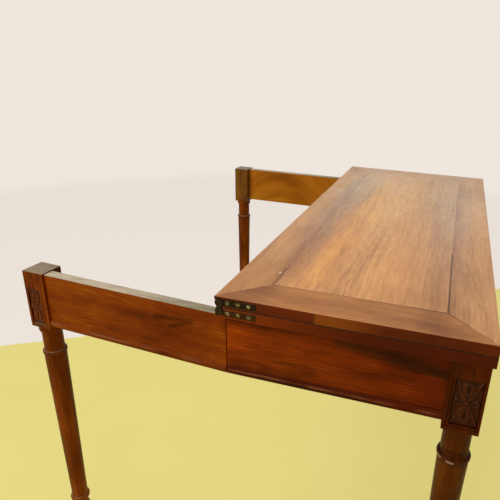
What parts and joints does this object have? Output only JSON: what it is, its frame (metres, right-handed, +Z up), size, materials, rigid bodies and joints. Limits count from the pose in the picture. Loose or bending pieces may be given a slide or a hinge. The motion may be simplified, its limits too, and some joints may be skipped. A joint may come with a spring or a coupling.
{
  "type": "games table",
  "caption": "Walnut games table with two stacked leaves hinged at the back corners, turned legs with carved blocks, and rear legs on swing-out arms.",
  "frame": {"origin": "on the floor, under the middle of the table as it stands with both arms out", "axes": "+X to the right along the width, +Y to the back (the side to which the arms and the upper leaf open), +Z up"},
  "size_m": [1.1, 0.866, 0.77],
  "materials": {
    "top_panel": "worn polish, figured walnut with dark streaks",
    "top_border": "worn polish, straight walnut",
    "frame_wood": "worn polish, reddish walnut",
    "bead_wood": "worn polish, darkened walnut",
    "turned_leg": "worn polish, turned walnut",
    "inner_wood": "dry, unpolished",
    "hinge_bronze": "dark patina",
    "hinge_iron": "dark, dull",
    "screw_steel": "worn, slightly yellow"
  },
  "bodies": {
    "frame": {"front_rail": "frame_wood", "left_side_rail": "frame_wood", "right_side_rail": "frame_wood", "back_rail": "inner_wood", "cross_bearer": "inner_wood", "left_front_leg": "turned_leg", "right_front_leg": "turned_leg", "front_bead": "bead_wood", "left_side_bead": "bead_wood", "right_side_bead": "bead_wood", "fixing_blocks": "inner_wood", "fixing_screws": "screw_steel", "lower_panel": "top_panel", "lower_front_border": "top_border", "lower_back_border": "top_border", "lower_left_border": "top_border", "lower_right_border": "top_border", "left_lower_plate": "hinge_bronze", "right_lower_plate": "hinge_bronze", "lower_plate_screws": "screw_steel", "left_frame_hinge": "hinge_iron", "left_hinge_pin": "screw_steel", "right_frame_hinge": "hinge_iron", "right_hinge_pin": "screw_steel", "frame_hinge_screws": "screw_steel"},
    "hinge_links": {"left_link": "hinge_bronze", "right_link": "hinge_bronze", "link_pins": "screw_steel"},
    "upper_leaf": {"upper_panel": "top_panel", "upper_front_border": "top_border", "upper_back_border": "top_border", "upper_left_border": "top_border", "upper_right_border": "top_border", "left_upper_plate": "hinge_bronze", "right_upper_plate": "hinge_bronze", "upper_plate_screws": "screw_steel"},
    "left_arm": {"left_arm": "frame_wood", "left_arm_bead": "bead_wood", "left_rear_leg": "turned_leg", "left_arm_hinge": "hinge_iron", "left_arm_screws": "screw_steel"},
    "right_arm": {"right_arm": "frame_wood", "right_arm_bead": "bead_wood", "right_rear_leg": "turned_leg", "right_arm_hinge": "hinge_iron", "right_arm_screws": "screw_steel"}
  },
  "joints": [
    {"name": "leaf_turn", "type": "hinge", "parent": "hinge_links", "child": "upper_leaf", "pos_m": [0, -0.00046, 0.7585], "axis": [-1, 0, 0], "range_deg": [0, 90]},
    {"name": "link_turn", "type": "hinge", "parent": "frame", "child": "hinge_links", "pos_m": [0, -0.00046, 0.7431], "axis": [-1, 0, 0], "range_deg": [0, 90]},
    {"name": "left_arm_swing", "type": "hinge", "parent": "frame", "child": "left_arm", "pos_m": [-0.5135, -0.00776, 0.6716], "axis": [0, 0, -1], "range_deg": [-3.5, 86.5]},
    {"name": "right_arm_swing", "type": "hinge", "parent": "frame", "child": "right_arm", "pos_m": [0.5135, -0.00776, 0.6716], "axis": [0, 0, 1], "range_deg": [0, 90]}
  ],
  "couplings": [
    {"joint": "link_turn", "follows": "leaf_turn", "ratio": 1}
  ]
}
